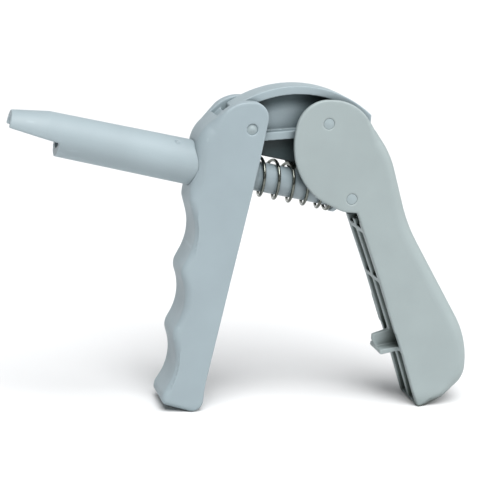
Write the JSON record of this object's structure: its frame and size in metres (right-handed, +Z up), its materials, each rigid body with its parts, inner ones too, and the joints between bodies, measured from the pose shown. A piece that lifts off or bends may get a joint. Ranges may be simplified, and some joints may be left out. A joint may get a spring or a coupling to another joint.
{
  "type": "dental capsule dispensing gun",
  "caption": "Squeeze gun with a finger-grooved hollow handle, a barrel with a loading port, a top link, a sprung plunger and a hollow rear lever.",
  "frame": {"origin": "centre of the whole object's box, on the surface that both handle ends stand on", "axes": "+X towards the rear handle, -X towards the muzzle, +Y across the width, +Z up; the barrel climbs 10.4 degrees towards the muzzle"},
  "size_m": [0.1669, 0.0184, 0.114],
  "materials": {
    "handle_plastic": "satin moulded plastic",
    "barrel_plastic": "satin moulded plastic",
    "link_plastic": "satin moulded plastic",
    "lever_plastic": "satin moulded plastic",
    "pin_plastic": "satin moulded plastic",
    "plunger_plastic": "satin moulded plastic",
    "push_pin_steel": "ground steel",
    "spring_steel": "bright drawn spring wire"
  },
  "bodies": {
    "grip": {"front_handle": "handle_plastic", "barrel": "barrel_plastic", "front_pivot_pin": "pin_plastic", "return_spring": "spring_steel"},
    "link": {"top_link": "link_plastic"},
    "lever": {"rear_handle": "lever_plastic", "rear_pivot_pin": "pin_plastic", "plunger_pin": "pin_plastic"},
    "plunger": {"plunger_rod": "plunger_plastic", "push_pin": "push_pin_steel"}
  },
  "joints": [
    {"name": "link_swing", "type": "hinge", "parent": "grip", "child": "link", "pos_m": [-0.0041, 0, 0.0995], "axis": [0, 1, 0], "range_deg": [-12, 0]},
    {"name": "squeeze", "type": "hinge", "parent": "link", "child": "lever", "pos_m": [0.0225, 0, 0.1021], "axis": [0, 1, 0], "range_deg": [0, 51], "stiffness_Nm_per_rad": 0.35, "springref_deg": -28.65},
    {"name": "plunger_slide", "type": "slide", "parent": "grip", "child": "plunger", "axis": [-0.9836, 0, 0.1805], "range_m": [0, 0.02], "deforming": ["return_spring"]}
  ],
  "couplings": [
    {"joint": "link_swing", "follows": "squeeze", "ratio": -0.2338},
    {"joint": "plunger_slide", "follows": "squeeze", "m_per_rad": 0.022376}
  ]
}
